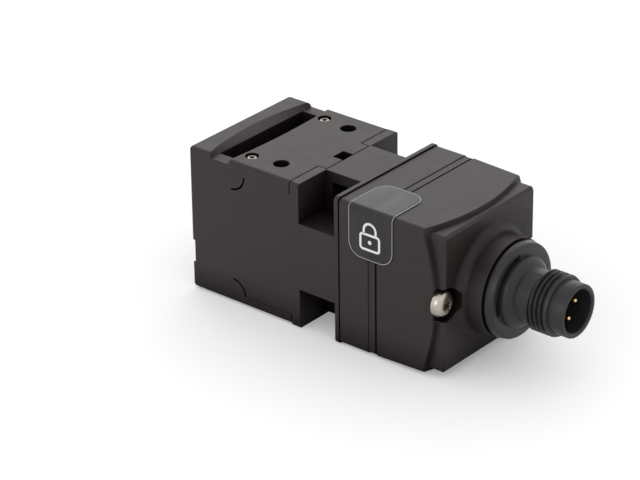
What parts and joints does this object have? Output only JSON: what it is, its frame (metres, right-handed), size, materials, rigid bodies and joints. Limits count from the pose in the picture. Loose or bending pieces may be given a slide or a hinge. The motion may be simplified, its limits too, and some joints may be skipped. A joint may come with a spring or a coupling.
{
  "type": "tongue interlock switch",
  "caption": "Slim guard interlock switch with a cam head that takes an actuator tongue from the top or the end, and a plug connector on its rear cover.",
  "frame": {"origin": "midway between the two mounting holes, on the mounting face of the flange and rim", "axes": "+X from the head towards the connector, +Z away from the mounting face, Y across the mounting holes"},
  "size_m": [0.0812, 0.031, 0.0308],
  "materials": {
    "housing": "matte moulded",
    "connector": "satin moulded",
    "insert": "satin moulded",
    "label": "glossy foil",
    "rubber": "matte",
    "steel": "satin",
    "gold": "polished",
    "silver": "polished",
    "brass": "satin",
    "white_plastic": "satin moulded",
    "lead": "satin"
  },
  "bodies": {
    "housing": {"head_cap": "housing", "head_screws": "steel", "head_frame": "housing", "base_housing": "housing", "rear_cover": "housing", "cover_seal": "rubber", "cover_screws": "steel", "label": "label", "connector_shell": "connector", "connector_insert": "insert", "contact_pins": "gold", "connector_o_ring": "rubber", "connector_nut": "brass", "cam_axle": "steel", "plunger_guide": "brass", "return_spring": "steel", "contact_block": "white_plastic", "contact_block_lid": "white_plastic", "safety_contacts": "silver", "signal_contacts": "silver", "internal_leads": "lead"},
    "cam": {"cam_wheel": "white_plastic", "coding_discs": "steel"},
    "plunger": {"plunger": "white_plastic", "contact_carrier": "white_plastic", "safety_bridge": "silver", "signal_bridge": "silver", "bridge_springs": "steel"}
  },
  "joints": [
    {"name": "cam_turn", "type": "hinge", "parent": "housing", "child": "cam", "pos_m": [-0.004, 0, 0.0154], "axis": [0, -1, 0], "range_deg": [0, 50]},
    {"name": "plunger_slide", "type": "slide", "parent": "housing", "child": "plunger", "axis": [1, 0, 0], "range_m": [-0.0025, 0], "deforming": ["return_spring"]}
  ],
  "couplings": [
    {"joint": "plunger_slide", "follows": "cam_turn", "m_per_rad": -0.0028648}
  ]
}
